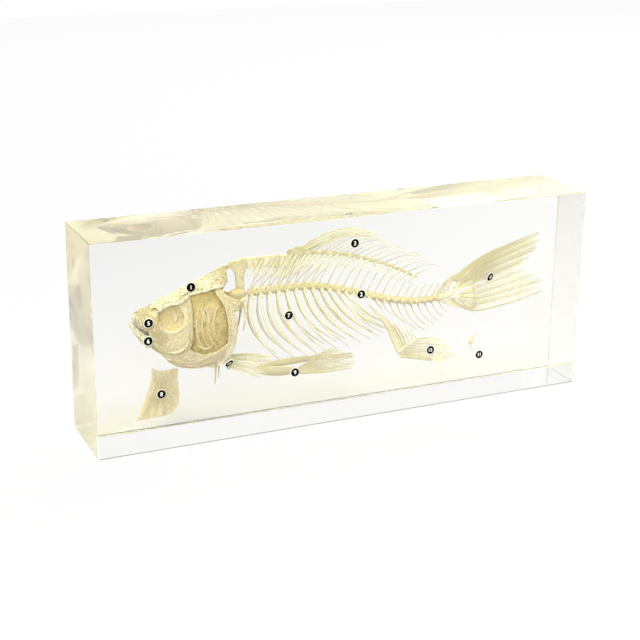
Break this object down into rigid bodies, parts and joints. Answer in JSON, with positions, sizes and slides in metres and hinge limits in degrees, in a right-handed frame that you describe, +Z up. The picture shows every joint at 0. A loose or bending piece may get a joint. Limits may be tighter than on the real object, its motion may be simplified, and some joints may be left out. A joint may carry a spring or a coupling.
{
  "type": "fish skeleton in a clear resin block",
  "caption": "Skeleton of a small carp-like fish with numbered discs at its main bones, cast upright in a clear rectangular resin block that stands on its long narrow side.",
  "frame": {"origin": "middle of the block's underside", "axes": "+X along the block towards the tail, -X the way the head points; +Y from the front face to the back face, so the fish's left side is at -Y; +Z up"},
  "size_m": [0.163, 0.027, 0.065],
  "materials": {
    "bone": "satin, dry cleaned bone",
    "bright_bone": "satin, pale rough bone",
    "inner_bone": "satin, golden thin bone",
    "resin": "clear, polished on every face",
    "disc": "matte black, plain white number"
  },
  "bodies": {
    "root": {"skull": "bright_bone", "upper_jaw": "bone", "lower_jaw": "bone", "cheek_left": "bone", "cheek_right": "bone", "gill_arches": "inner_bone", "gill_cover_right": "bone", "shoulder_left": "bone", "shoulder_right": "bone", "throat": "bone", "nape_bones": "bone", "predorsal_bones": "bone", "spine_trunk": "bone", "ribs_left": "bone", "ribs_right": "bone", "spine_tail": "bone", "dorsal_fin": "bone", "anal_fin": "bone", "tail_fin_upper": "bone", "tail_fin_lower": "bone", "pectoral_fin_left": "bone", "pectoral_fin_right": "bone", "pelvic_fin_left": "bone", "pelvic_fin_right": "bone", "gill_cover_loose": "bone", "small_bone": "bone", "resin_block": "resin", "number_disc_1": "disc", "number_disc_2": "disc", "number_disc_3": "disc", "number_disc_4": "disc", "number_disc_5": "disc", "number_disc_6": "disc", "number_disc_7": "disc", "number_disc_8": "disc", "number_disc_9": "disc", "number_disc_10": "disc", "number_disc_11": "disc", "number_disc_12": "disc"}
  },
  "joints": []
}
